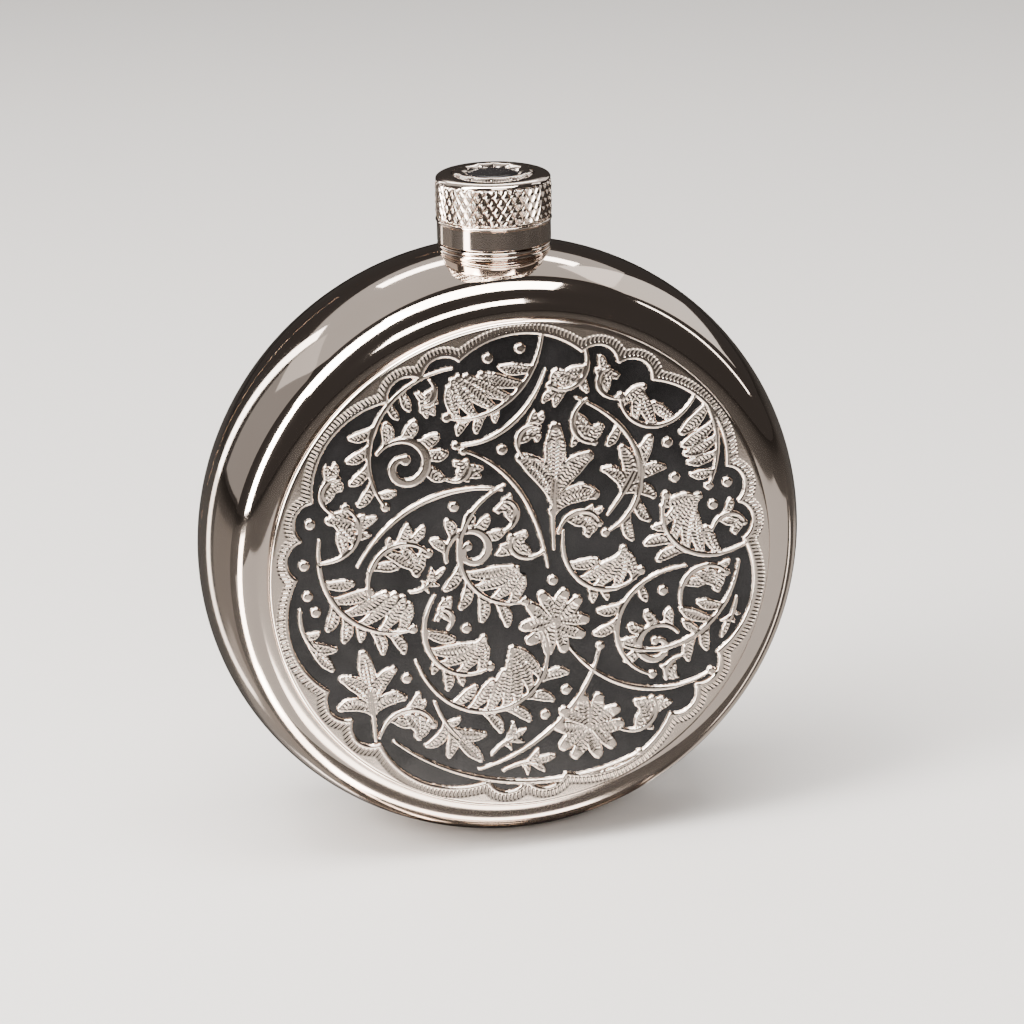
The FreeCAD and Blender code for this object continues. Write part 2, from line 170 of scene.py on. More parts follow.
def inside_border(x, z):
    """Distance inside the lobed edge of the sunk ground, positive inside."""
    inside = CUSP - np.hypot(x, z)
    for place, reach, radius in LOBE_PLACES:
        arm = reach - radius
        for k in range(LOBES):
            angle = math.pi / 2 + (place + k) * LOBE_STEP
            away = np.hypot(x - arm * math.cos(angle), z - arm * math.sin(angle))
            inside = np.maximum(inside, radius - away)
    return inside


def curl(x, z, heading, length, turn, bend, count):
    """Points and headings of a line from (x, z) that turns by turn degrees in all, late if bend is high."""
    t = np.linspace(0.0, 1.0, count)
    angle = np.radians(heading + turn * t**bend)
    step = length / (count - 1)
    middle = 0.5 * (angle[1:] + angle[:-1])
    steps = np.stack([np.cos(middle), np.sin(middle)], 1) * step
    points = np.array([x, z]) + np.concatenate([[[0.0, 0.0]], np.cumsum(steps, 0)])
    return points, np.degrees(angle)


def swell(base, belly, tip, count, peak=0.5):
    """Half widths along a blade: base at its foot, belly at the share peak of its length, and tip."""
    t = np.linspace(0.0, 1.0, count)
    rise = np.where(t < peak, t / peak, (1.0 - t) / (1.0 - peak))
    ends = np.where(t < peak, base, tip)
    return ends + (belly - ends) * np.sin(0.5 * np.pi * rise) ** 1.3


class Carving:
    """Maps of the metal left standing in the ground, and of the room that is still free.

    inside is the depth inside the metal's edge, along and across are places on the stroke there, plain
    is 1 where it has no hatching, and free is the room round each cell of the coarse map.
    """

    def __init__(self):
        self.axis = np.arange(-EXTENT, EXTENT + FINE, FINE)
        shape = (len(self.axis),) * 2
        self.inside = np.full(shape, NOTHING)
        self.along, self.across, self.plain = np.zeros(shape), np.zeros(shape), np.zeros(shape)
        self.coarse = np.arange(-EXTENT, EXTENT + COARSE, COARSE)
        x, z = np.meshgrid(self.coarse, self.coarse)
        self.free = inside_border(x, z) - BORDER_GAP

    def sample(self, field, x, z):
        """Reads a fine field at points, smoothly between its cells."""
        u, v = (x + EXTENT) / FINE, (z + EXTENT) / FINE
        last = len(self.axis) - 2
        i, j = np.clip(u.astype(int), 0, last), np.clip(v.astype(int), 0, last)
        s, t = np.clip(u - i, 0.0, 1.0), np.clip(v - j, 0.0, 1.0)
        lower = field[j, i] * (1.0 - s) + field[j, i + 1] * s
        upper = field[j + 1, i] * (1.0 - s) + field[j + 1, i + 1] * s
        return lower * (1.0 - t) + upper * t

    def room(self, points):
        """The free room at points."""
        cell = np.clip(np.rint((points + EXTENT) / COARSE).astype(int), 0, len(self.coarse) - 1)
        return self.free[cell[:, 1], cell[:, 0]]

    def window(self, axis, cell, points, pad):
        """The part of a map with these cells that points reach with pad round them, and its x and z."""
        low = np.maximum(((points.min(0) - pad + EXTENT) / cell).astype(int), 0)
        high = ((points.max(0) + pad + EXTENT) / cell).astype(int) + 2
        x, z = np.meshgrid(axis[low[0]:high[0]], axis[low[1]:high[1]])
        return (slice(low[1], high[1]), slice(low[0], high[0])), x, z

    def stroke(self, points, half, polish, rib=False):
        """Leaves metal standing along points, half wide on each side.

        A rib is cut clear of what it crosses by a groove on both its sides.
        """
        window, x, z = self.window(self.axis, FINE, points, half.max() + 0.2)
        best, u = np.full(x.shape, NOTHING), np.zeros(x.shape)
        v, shine = np.zeros(x.shape), np.zeros(x.shape)
        along = 0.0
        for k in range(len(points) - 1):
            (ax, az), (dx, dz) = points[k], points[k + 1] - points[k]
            span = math.hypot(dx, dz) + 1e-9
            t = np.clip(((x - ax) * dx + (z - az) * dz) / span**2, 0.0, 1.0)
            ex, ez = x - ax - t * dx, z - az - t * dz
            away = np.sqrt(ex * ex + ez * ez)
            depth = half[k] + t * (half[k + 1] - half[k]) - away
            nearer = depth > best
            best = np.where(nearer, depth, best)
            u = np.where(nearer, along + t * span, u)
            v = np.where(nearer, np.copysign(away, dx * ez - dz * ex), v)
            shine = np.where(nearer, polish[k] + t * (polish[k + 1] - polish[k]), shine)
            along += span
        old = self.inside[window]
        over = best > old
        new = np.where(over, best, old)
        if rib:
            over = (best > 0.0) | over
            grooved = np.where(old > 0.0, np.minimum(old, np.abs(best) + RIB_GROOVE), new)
            new = np.where(best > 0.0, best + RIB_GROOVE, grooved)
        self.inside[window] = new
        for field, value in ((self.along, u), (self.across, v), (self.plain, shine)):
            field[window] = np.where(over, value, field[window])
        self.claim(points, half)

    def claim(self, points, half):
        """Takes a stroke's own room off the free room round it."""
        window, x, z = self.window(self.coarse, COARSE, points, REACH)
        away = np.hypot(x[..., None] - points[:, 0], z[..., None] - points[:, 1]) - half
        self.free[window] = np.minimum(self.free[window], np.min(away, axis=2) - GAP)

    def clear(self, points, half, skip=0.0):
        """Whether a stroke would touch nothing, after the share skip of its length."""
        start = int(skip * len(points))
        return (self.room(points[start:]) - half[start:]).min() >= 0.0


def finger(carving, root, heading, side, spread, length, turn, belly):
    """One round-ended finger of a leaf, curling away from the blade, as long as its room allows."""
    for share in (1.0, 0.82, 0.66, 0.5):
        reach, fat = length * share, belly * (0.4 + 0.6 * share)
        points, _ = curl(*root, heading + side * spread, reach, side * turn, 1.3, FINGER_POINTS)
        half = swell(0.5 * fat, fat, 0.58 * fat, FINGER_POINTS, 0.66)
        if carving.clear(points, half, 0.5):
            return points, half
    return None


def tip_polish(count, share=0.8):
    """No hatching on the last part of a stroke."""
    return np.clip((np.linspace(0.0, 1.0, count) - share) / TIP_FADE, 0.0, 1.0)


def ball(carving, place, radius):
    """A polished berry or the ball on a tip."""
    carving.stroke(np.stack([place, place + 0.01]), np.full(2, radius), np.ones(2))


def leaf(carving, points, headings, half, fingers, tip=0.0):
    """A polished rib with hatched fingers, and a ball of radius tip on its end if tip isn't 0.

    A finger is its place along the rib, its side, the angle it springs at, its length, turn and half width.
    """
    made = []
    for place, *way in fingers:
        k = int(place * (len(points) - 1))
        made.append(finger(carving, points[k], headings[k], *way))
    for found in filter(None, made):
        carving.stroke(*found, tip_polish(len(found[0]), 0.9))
    carving.stroke(points, half, np.ones(len(points)), True)
    if tip:
        ball(carving, points[-1], tip)


def acanthus_fingers(length, width, side):
    """Overlapping fingers on a leaf's hollow side, longest in the middle, and short ones facing them."""
    count = max(int(0.68 * length / 2.7), 4)
    fingers = []
    for k in range(count):
        bulge = math.sin(math.pi * (k + 0.8) / (count + 0.5))
        place = 0.92 - 0.62 * k / (count - 1)
        belly = min(0.62 + 0.05 * width + 0.3 * bulge, 0.11 * length)
        fingers.append((place, side, 58.0, width * (0.42 + 0.58 * bulge), 26.0, belly))
    short, thick = 0.45 * width + 1.2, 0.6 + 0.06 * width
    return fingers + [(0.84 - 0.1 * k, -side, 22.0, short, 52.0, thick) for k in range(5)]


def acanthus(carving, x, z, heading, length, turn, bend, width):
    """A large leaf: a rib that ends in a ball, with overlapping fingers, width long, on its hollow side."""
    fingers = acanthus_fingers(length, width, 1 if turn > 0.0 else -1)
    points, headings = curl(x, z, heading, length, turn, bend, LEAF_POINTS)
    half = swell(STEM, 0.5, STEM, LEAF_POINTS, 0.5)
    leaf(carving, points, headings, half, fingers, min(0.85, 0.4 + 0.03 * length))


def palmette_fingers(length):
    """Five broad fingers that spring from nearly the same place."""
    lower = [(0.32, side, 34.0, 0.4 * length, 84.0, 0.085 * length) for side in (1, -1)]
    upper = [(0.42, side, 18.0, 0.46 * length, 46.0, 0.09 * length) for side in (1, -1)]
    return lower + upper + [(0.46, 1, 0.0, 0.54 * length, 4.0, 0.095 * length)]


def palmette(carving, x, z, heading, length, turn):
    """A small leaf of five broad fingers on a bent stalk, which ends where they spring."""
    points, headings = curl(x, z, heading, length, turn, 1.2, PALMETTE_POINTS)
    stalk = 12
    fingers = [(place / 0.55, *way) for place, *way in palmette_fingers(length)]
    leaf(carving, points[:stalk], headings[:stalk], swell(0.34, 0.4, 0.3, stalk, 0.5), fingers)


def snail(carving, x, z, radius, start, hand):
    """A leaf rolled up in a spiral about (x, z), with a few fingers on its back."""
    t = np.linspace(0.0, 1.0, SNAIL_POINTS)
    angle = np.radians(start + hand * 430.0 * t)
    reach = radius * (1.0 - 0.78 * t**0.9)
    points = np.stack([x + reach * np.cos(angle), z + reach * np.sin(angle)], 1)
    step = np.gradient(points, axis=0)
    headings = np.degrees(np.arctan2(step[:, 1], step[:, 0]))
    half = swell(0.4, 0.16 * radius, 0.12 * radius, SNAIL_POINTS, 0.4)
    back = [(0.36 - 0.075 * k, -hand, 34.0, 0.72 * radius, 46.0, 0.24 * radius) for k in range(5)]
    leaf(carving, points, headings, half, back, 0.2 * radius)


def tendril(carving, x, z, heading, length, turn, bend, tip):
    """A thin polished stem, with a ball on its end if tip isn't 0."""
    points, _ = curl(x, z, heading, length, turn, bend, STEM_POINTS)
    carving.stroke(points, swell(STEM, 0.56, 0.34, STEM_POINTS, 0.6), np.ones(STEM_POINTS))
    if tip:
        ball(carving, points[-1], tip)


def flower(carving, x, z, size, turn):
    """Five petals with cleft ends round a boss."""
    count = 10
    half = swell(0.4, 0.24 * size, 0.2 * size, count, 0.75)
    for k in range(5):
        for side in (-1, 1):
            points, _ = curl(x, z, turn + 72.0 * k + side * 9.0, size, side * 24.0, 1.0, count)
            carving.stroke(points, half, tip_polish(count))
    ball(carving, np.array([x, z]), 0.95)


def longest_leaf(carving, x, z, longest):
    """The longest acanthus leaf that fits about (x, z), with its stalk near other metal, or None."""
    count, middle, blade = 30, 19, slice(11, 26)
    for length in np.arange(longest, SMALLEST_LEAF, -1.0):
        width = 0.3 * length + 1.2
        nearest, chosen = REACH, None
        for turn in (150.0, -150.0, 100.0, -100.0):
            shift = math.copysign(0.42 * width, turn)
            for heading in HEADINGS:
                points, headings = curl(0.0, 0.0, heading, length, turn, 1.3, count)
                normal = np.radians(headings) + 0.5 * math.pi
                body = points + shift * np.stack([np.cos(normal), np.sin(normal)], 1)
                move = np.array([x, z]) - body[middle]
                root = carving.room(points[:1] + move)[0]
                if root < nearest and carving.clear(points + move, np.full(count, 0.7), 0.2):
                    if carving.clear((body + move)[blade], np.full(15, 0.4 * width)):
                        nearest, chosen = root, (*(points[0] + move), heading, length, turn, 1.3, width)
        if chosen:
            return chosen
    return None


def longest_palmette(carving, x, z, longest):
    """The longest palmette that fits with its fingers about (x, z), or None."""
    for length in np.arange(longest, SMALLEST_PALMETTE, -0.7):
        half = swell(0.34, 0.13 * length, 0.1 * length, PALMETTE_POINTS, 0.68)
        for turn in (50.0, -50.0, 100.0, -100.0):
            for heading in HEADINGS:
                points, _ = curl(0.0, 0.0, heading, length, turn, 1.2, PALMETTE_POINTS)
                points = points - points[13] + np.array([x, z])
                if carving.clear(points, half):
                    return *points[0], heading, length, turn
    return None


def fill(carving):
    """Fills the widest gap first: with a leaf, a palmette or one of a few berries, or it stays bare."""
    berries = 0
    for count in range(220):
        row, column = np.unravel_index(np.argmax(carving.free), carving.free.shape)
        room = carving.free[row, column]
        if room < SMALLEST_ROOM:
            break
        x, z = carving.coarse[column], carving.coarse[row]
        wide = room > 1.0
        large = wide and count % 6 < 5 and longest_leaf(carving, x, z, min(6.5 * room, LARGEST_LEAF))
        small = wide and not large and longest_palmette(carving, x, z, min(6.5 * room, LARGEST_PALMETTE))
        if large:
            acanthus(carving, *large)
        elif small:
            palmette(carving, *small)
        elif berries < MOST_BERRIES:
            ball(carving, np.array([x, z]), min(room, LARGEST_BERRY))
            berries += 1
        else:
            carving.claim(np.array([[x, z]]), np.array([0.8]))


# The large motifs, each placed one by one.
# Leaves: x, z, heading, length, turn, bend, length of the fingers.
LEAVES = (
    (-11.0, 34.5, 186.0, 30.0, 120.0, 1.1, 7.0),
    (-33.0, 8.0, 262.0, 26.0, 110.0, 1.2, 7.6),
    (-18.0, -14.0, 290.0, 36.0, 190.0, 1.3, 8.2),
    (-3.0, 14.5, 205.0, 30.0, 165.0, 1.2, 8.0),
    (9.0, 28.0, 332.0, 30.0, -130.0, 1.5, 7.6),
    (17.0, 35.5, 345.0, 32.0, -100.0, 1.2, 6.2),
    (36.0, -2.0, 262.0, 28.0, -110.0, 1.2, 7.2),
    (27.0, -2.0, 185.0, 28.0, 160.0, 1.3, 7.6),
)
# Palmettes: x, z, heading, length, turn.
PALMETTES = (
    (5.0, 3.0, 92.0, 20.0, -14.0),
    (-25.0, -27.0, 92.0, 15.0, 10.0),
    (14.0, 8.0, 50.0, 14.0, 30.0),
)
# Snails: x, z, radius, starting angle, which way round.
SNAILS = ((-19.0, 19.0, 5.0, 150.0, -1), (-8.5, 4.0, 4.4, 200.0, -1), (22.0, -15.5, 4.2, 30.0, 1))
# Tendrils: x, z, heading, length, turn, bend, ball on the end.
TENDRILS = (
    (-22.0, -27.5, 318.0, 44.0, 66.0, 1.0, 0.7),
    (-27.0, 3.0, 60.0, 28.0, -75.0, 1.1, 0.0),
    (4.0, 0.0, 100.0, 26.0, 60.0, 1.6, 0.8),
    (6.0, -12.0, 300.0, 30.0, 90.0, 1.2, 0.8),
    (-8.0, -34.0, 12.0, 30.0, 66.0, 1.1, 0.8),
    (4.0, 33.0, 250.0, 20.0, -75.0, 1.3, 0.8),
)
# Flowers: x, z, size, turn.
FLOWERS = ((5.0, -9.5, 5.0, 20.0), (10.5, -28.5, 5.2, 50.0))
MOTIFS = {flower: FLOWERS, tendril: TENDRILS, snail: SNAILS, palmette: PALMETTES, acanthus: LEAVES}


def carve():
    """The whole ornament: the listed scrolls first, then small leaves in what is left."""
    carving = Carving()
    for motif, places in MOTIFS.items():
        for place in places:
            motif(carving, *place)
    fill(carving)
    return carving


# ---------------------------------------------------------------- body shells
def rim_section(inset, seam, count):
    """Half of the disc's section from the flat of the face out to the seam, as (radius, depth)."""
    flat = DISC - RIM_WIDTH
    face, rim, bend = FACE - inset, DISC - inset, SHOULDER - inset
    reach, rise = rim - flat, face - bend
    rim_arc = (reach**2 + rise**2 - bend**2) / (2.0 * (reach - bend))
    centre = rim - rim_arc
    meeting = math.degrees(math.atan2(rise, flat - centre))
    stop = math.degrees(math.asin(seam / rim_arc))
    shoulder = arc((flat, rise), bend, 90.0, meeting, count // 2)
    return shoulder + arc((centre, 0.0), rim_arc, meeting, stop, count)[1:]


def flat_steps(radius, count=10):
    """Radii from near the middle out to just inside radius, so that the flat has even quads."""
    return [radius * (k + 0.05) / count for k in range(count)]


def shell(name, side):
    """One pressed half of the body: side is -1 at the front, and 1 at the back, with its raised panel."""
    outer = rim_section(0.0, SEAM_GROOVE, 44)
    inner = rim_section(WALL, 0.0, 24)[::-1]
    flat, panel, within = DISC - RIM_WIDTH, PLATE, PLATE - WALL
    if side < 0:
        hub = [(r, FACE) for r in flat_steps(flat)]
        inside_hub = [(r, FACE - WALL) for r in flat_steps(flat)[::-1]]
    else:
        hub = [(r, BACK_PANEL) for r in flat_steps(panel - PLATE_ROUND)]
        hub += arc((panel - PLATE_ROUND, BACK_PANEL - PLATE_ROUND), PLATE_ROUND, 90.0, 0.0, 10)
        hub += [(panel, FACE)]
        inside_hub = [(within, FACE - WALL), (within, BACK_PANEL - WALL)]
        inside_hub += [(r, BACK_PANEL - WALL) for r in flat_steps(within)[::-1]]
    profile = hub + outer + [(DISC - SEAM_GROOVE, 0.0)] + inner + inside_hub
    made = turned(name, [(r, side * y) for r, y in profile], BODY_AROUND, "disc", closed=False)
    stand_on_foot(made)
    return cut_hole(outward(made))


def stand_on_foot(made):
    """Flattens what is below the foot, as the small flat that the flask stands on."""
    for vertex in made.data.vertices:
        vertex.co.z = max(vertex.co.z, 0.0)


def cut_hole(made):
    """Cuts the neck's hole through the top of the rim."""
    rim_top = (0.0, 0.0, (CENTRE + DISC) * MM)
    size = {"radius": NECK_HOLE * MM, "depth": 2.0 * SHOULDER * MM}
    bpy.ops.mesh.primitive_cylinder_add(vertices=HOLE_AROUND, location=rim_top, **size)
    drill = bpy.context.object
    cut = made.modifiers.new("neck_hole", "BOOLEAN")
    cut.operation, cut.object, cut.solver = "DIFFERENCE", drill, "EXACT"
    seen = bpy.context.evaluated_depsgraph_get()
    made.data = bpy.data.meshes.new_from_object(made.evaluated_get(seen))
    made.modifiers.clear()
    bpy.data.objects.remove(drill)
    return made


def braze():
    """The bead that fills the groove between the shells."""
    groove = SEAM_GROOVE
    profile = [(DISC - groove, 0.0), (DISC, -groove), (DISC, 0.0), (DISC, groove)]
    made = turned("seam_braze_bead", profile, BODY_AROUND, "disc")
    stand_on_foot(made)
    return cut_hole(outward(made))


# ---------------------------------------------------------------- struck plate
def plate_height(carving, x, z):
    """Height of the plate's face above the metal under the enamel, at points x, z."""
    top = PLATE_FACE - ENAMEL_TOP + ENAMEL_SINK
    border = inside_border(x, z)
    fields = carving.inside, carving.along, carving.across, carving.plain
    inside, along, across, plain = (carving.sample(field, x, z) for field in fields)
    edge = np.clip(inside / EDGE, 0.0, 1.0)
    height = top * np.sqrt(1.0 - (1.0 - edge) ** 2)
    rows = np.cos(2.0 * math.pi * across / ROW)
    wave = 0.5 + 0.5 * np.cos(2.0 * math.pi * (along / HATCH + 0.22 * rows))
    inner = np.clip((inside - EDGE) / 0.12, 0.0, 1.0) * (1.0 - plain)
    height -= HATCH_DEPTH * wave * inner
    wall = np.clip(1.0 - border / EDGE, 0.0, 1.0)
    rim = top * np.sqrt(1.0 - (1.0 - wall) ** 2)
    height = np.where(border > 0.0, np.maximum(height, rim), top)
    return height - milled_border(border, np.arctan2(z, x))


def milled_border(border, angle):
    """Depth of the milled band that follows the lobed edge, just outside it."""
    from_edge = -border
    ramp = 0.1
    begins = np.clip((from_edge - BAND_START) / ramp, 0.0, 1.0)
    ends = np.clip((BAND_START + BAND_WIDTH - from_edge) / ramp, 0.0, 1.0)
    strokes = 0.5 + 0.5 * np.cos(MILL_COUNT * angle)
    return MILL_DEPTH * begins * ends * strokes


def plate_rings():
    """Radii of the plate's rings of points from its rim in, and their counts, which halve on the way."""
    radii, counts = [PLATE - PLATE_ROUND], [PLATE_POINTS]
    spacing = HALVE_BELOW * PLATE / PLATE_POINTS
    while radii[-1] > 1.0:
        halve = radii[-1] / counts[-1] < spacing and counts[-1] % 2 == 0
        counts.append(counts[-1] // 2 if halve else counts[-1])
        radii.append(radii[-1] - PLATE_STEP)
    return radii, counts


def plate_faces(counts):
    """Quads between rings of equal counts, and triangles between rings where the count halves."""
    starts = np.concatenate([[0], np.cumsum(counts)])
    quads, wedges = [], []
    for k in range(len(counts) - 1):
        outer, inner = counts[k], counts[k + 1]
        here, below = starts[k], starts[k + 1]
        j = np.arange(inner)
        after = (j + 1) % inner
        if inner == outer:
            quads.append(np.stack([here + j, here + after, below + after, below + j], 1))
        else:
            first, middle, last = here + 2 * j, here + 2 * j + 1, here + (2 * j + 2) % outer
            wedges.append(np.stack([first, middle, below + j], 1))
            wedges.append(np.stack([middle, below + after, below + j], 1))
            wedges.append(np.stack([middle, last, below + after], 1))
    return np.concatenate(quads), np.concatenate(wedges)


def plate_rim(base):
    """Points and faces of the plate's rounded rim and wall; base is how many points come before."""
    bend = arc((PLATE - PLATE_ROUND, PLATE_FACE - PLATE_ROUND), PLATE_ROUND, 90.0, 0.0, 9)
    rim = bend[1:] + [(PLATE, FACE)]
    points = turned_points([(r, -y) for r, y in rim], PLATE_POINTS, "disc").reshape(-1, 3)
    j = np.arange(PLATE_POINTS)
    after = (j + 1) % PLATE_POINTS
    joining = np.stack([j, base + j, base + after, after], 1)
    return points, [joining, base + ring_faces(len(rim), PLATE_POINTS, False)[:, ::-1]]


def struck_plate():
    """The engraved plate, left open where its ground is under the enamel."""
    carving = carve()
    radii, counts = plate_rings()
    points, heights = [], []
    for radius, count in zip(radii, counts):
        angle = np.linspace(0.0, 2.0 * math.pi, count, endpoint=False)
        x, z = radius * np.cos(angle), radius * np.sin(angle)
        height = plate_height(carving, x, z)
        points.append(np.stack([x, -(ENAMEL_TOP - ENAMEL_SINK + height), CENTRE + z], 1))
        heights.append(height)
    shown = np.concatenate(heights) > HIDDEN
    faces = [group[shown[group].any(1)] for group in plate_faces(counts)]
    points = np.concatenate(points)
    rim_points, rim_faces = plate_rim(len(points))
    faces += rim_faces
    points = np.concatenate([points, rim_points])
    used = np.unique(np.concatenate([group.ravel() for group in faces]))
    place = np.zeros(len(points), int)
    place[used] = np.arange(len(used))
    return mesh_object("struck_plate", points[used], [place[group] for group in faces], 60.0)


# ---------------------------------------------------------------- neck collar and cap
def collar():
    """The turned ring at the neck's foot: a sloping flange with two beads above it."""
    top, foot = collar_high.z / MM, collar_low.z / MM
    reach = collar_high.x / MM
    profile = [(NECK_HOLE, foot), (reach, foot), (reach - 0.1, top - 1.58), (reach - 0.3, top - 1.5)]
    profile += [(reach - 0.5, top - 1.5), (reach - 0.5, top - 1.32)]
    profile += arc((reach - 0.32, top - 1.0), 0.32, -90.0, 90.0, 9)
    profile += [(reach - 0.55, top - 0.66), (reach - 0.55, top - 0.52)]
    profile += arc((reach - 0.26, top - 0.26), 0.26, -90.0, 90.0, 9)
    profile += [(NECK_HOLE, top)]
    return outward(turned("neck_collar_ring", profile, COLLAR_AROUND, "neck", sharp=50.0))


def knurl_depth(angle, up):
    """How far the diamond knurl is cut in at an angle and a height above its lower end."""
    along = KNURL_COUNT * angle / (2.0 * math.pi)
    up = up / KNURL_PITCH
    first = np.abs(2.0 * ((along + up) % 1.0) - 1.0)
    second = np.abs(2.0 * ((along - up) % 1.0) - 1.0)
    return KNURL_DEPTH * np.maximum(first, second) ** KNURL_POINT


def shoulder(grip, low, reach, top):
    """The cap's rounded edge, squarer than an ellipse, from the top of the grip in to the flat."""
    turn = np.radians(np.linspace(0.0, 90.0, 15))
    radius = reach + (grip - reach) * np.cos(turn) ** 0.72
    height = low + (top - low) * np.sin(turn) ** 0.9
    return list(zip(radius.tolist(), height.tolist()))


def band_profile(grip, low, knurl_low):
    """The plain band, its groove, and the bead under the knurl."""
    band = grip - KNURL_STEP
    profile = [(band - 0.15, low), (band, low + 0.15), (band, knurl_low - 0.75)]
    profile += [(band - 0.12, knurl_low - 0.68), (band - 0.12, knurl_low - 0.58)]
    profile += arc((grip - 0.22, knurl_low - 0.32), 0.22, -90.0, 60.0, 6)
    return profile + [(grip - KNURL_DEPTH, knurl_low - 0.06)]


def crown_profile(grip, low, knurl_high, top):
    """The shoulder, the seats of the bezel and the inlay, and the hollow down to the cap's foot."""
    inside, ceiling = insert_high.x / MM, top - CAP_TOP_WALL
    seat, seat_radius = bezel_low.z / MM, bezel_high.x / MM
    inlay_floor, inlay_radius = inlay_low.z / MM, inlay_high.x / MM
    profile = [(grip - KNURL_DEPTH, knurl_high + 0.05)]
    profile += shoulder(grip - 0.14, knurl_high + 0.16, seat_radius + 0.15, top)
    profile += [(seat_radius, top - 0.02), (seat_radius, seat), (inlay_radius, seat)]
    profile += [(inlay_radius, inlay_floor), (0.05, inlay_floor), (0.05, ceiling)]
    return profile + [(inside, ceiling), (inside, low)]


def cap():
    """The screw cap: a plain band, a knurled grip, a rounded shoulder and the hollow inside."""
    low, top, grip = cap_low.z / MM, cap_high.z / MM, cap_high.x / MM
    knurl_low = low + BAND_HEIGHT
    rings = int(round(KNURL_HEIGHT / KNURL_PITCH * KNURL_SAMPLES))
    count = KNURL_COUNT * KNURL_SAMPLES
    band = band_profile(grip, low, knurl_low)
    knurl = [(grip, knurl_low + KNURL_HEIGHT * k / rings) for k in range(rings + 1)]
    profile = band + knurl + crown_profile(grip, low, knurl_low + KNURL_HEIGHT, top)
    points = turned_points(profile, count, "neck")
    angle = np.linspace(0.0, 2.0 * math.pi, count, endpoint=False)
    for k, (radius, height) in enumerate(knurl):
        fade = min(1.0, k / 3.0, (rings - k) / 3.0)
        cut = KNURL_DEPTH + (knurl_depth(angle, height - knurl_low) - KNURL_DEPTH) * fade
        points[len(band) + k, :, :2] *= (1.0 - cut / radius)[:, None]
    faces = ring_faces(len(profile), count, True)
    return mesh_object("cap_knurled", points.reshape(-1, 3), [faces], 38.0)


def bezel_steps(wall):
    """Steps across the bezel: share of its width, height over its top, and whether it is milled."""
    steps = [(0.0, -wall, 0.0)]
    for share in np.linspace(0.0, 1.0, 13):
        milled = 1.0 if 0.05 < share < 0.3 else 0.0
        steps.append((share, -BEZEL_DROP * (2.0 * share - 1.0) ** 2, milled))
    return steps + [(1.0, -wall, 0.0)]


def bezel():
    """The scalloped ring on the cap: a low hump, milled on its outer slope."""
    seat, top = bezel_low.z / MM, bezel_high.z / MM
    outer, inner = bezel_high.x / MM, inlay_high.x / MM
    angle = np.linspace(0.0, 2.0 * math.pi, BEZEL_AROUND, endpoint=False)
    wave = np.abs(np.cos(0.5 * BEZEL_LOBES * angle)) ** 0.8
    edge = outer - BEZEL_NOTCH * (1.0 - wave)
    bore = inner + 0.1 - BEZEL_NOTCH * wave
    milling = BEZEL_MILL_DEPTH * (0.5 + 0.5 * np.cos(BEZEL_MILLS * angle))
    rings = []
    for share, drop, milled in bezel_steps(top - seat):
        radius = edge + (bore - edge) * share
        height = top + drop - milled * milling
        rings.append(np.stack([radius * np.cos(angle), radius * np.sin(angle), height], 1))
    faces = ring_faces(len(rings), BEZEL_AROUND, True)
    return mesh_object("cap_scalloped_bezel", np.concatenate(rings), [faces], 45.0)


# ---------------------------------------------------------------- materials
NOISE_LOW, NOISE_HIGH = 0.35, 0.65


def new_material(name):
    """A new material, its nodes and links, and its shader."""
    material = bpy.data.materials.new(name)
    material.use_nodes = True
    nodes, links = material.node_tree.nodes, material.node_tree.links
    return material, nodes, links, nodes["Principled BSDF"]


def noise(nodes, links, scale, detail, stretch=(1.0, 1.0, 1.0)):
    """A noise texture in the object's own metres, optionally stretched."""
    place = nodes.new("ShaderNodeTexCoord")
    mapping = nodes.new("ShaderNodeMapping")
    mapping.inputs["Scale"].default_value = stretch
    texture = nodes.new("ShaderNodeTexNoise")
    texture.inputs["Scale"].default_value = scale
    texture.inputs["Detail"].default_value = detail
    links.new(place.outputs["Object"], mapping.inputs["Vector"])
    links.new(mapping.outputs["Vector"], texture.inputs["Vector"])
    return texture.outputs["Fac"]


def between(nodes, links, source, low, high):
    """A value that drifts between two with a noise."""
    span = nodes.new("ShaderNodeMapRange")
    span.inputs["From Min"].default_value, span.inputs["From Max"].default_value = NOISE_LOW, NOISE_HIGH
    span.inputs["To Min"].default_value, span.inputs["To Max"].default_value = low, high
    links.new(source, span.inputs["Value"])
    return span.outputs["Result"]


def tinted(nodes, links, source, first, second):
    """A colour that drifts between two with a noise."""
    ramp = nodes.new("ShaderNodeValToRGB")
    for stop, place, colour in zip(ramp.color_ramp.elements, (NOISE_LOW, NOISE_HIGH), (first, second)):
        stop.position = place
        stop.color = (*colour, 1.0)
    links.new(source, ramp.inputs["Fac"])
    return ramp.outputs["Color"]


def bumped(nodes, links, shader, source, distance):
    """Fine relief in a surface, this many metres deep, from a noise."""
    bump = nodes.new("ShaderNodeBump")
    bump.inputs["Distance"].default_value = distance
    bump.inputs["Strength"].default_value = 1.0
    links.new(source, bump.inputs["Height"])
    links.new(bump.outputs["Normal"], shader.inputs["Normal"])


def metal(name, first, second, smooth, dull, grain, grain_size=900.0, stretch=(1.0, 1.0, 1.0)):
    """A metal: its colour and polish drift a little, and fine grain lies in the polish."""
    material, nodes, links, shader = new_material(name)
    shader.inputs["Metallic"].default_value = 1.0
    drift, smudge = noise(nodes, links, 55.0, 3.0), noise(nodes, links, 90.0, 6.0)
    links.new(tinted(nodes, links, drift, first, second), shader.inputs["Base Color"])
    links.new(between(nodes, links, smudge, smooth, dull), shader.inputs["Roughness"])
    bumped(nodes, links, shader, noise(nodes, links, grain_size, 2.0, stretch), grain)
    return material


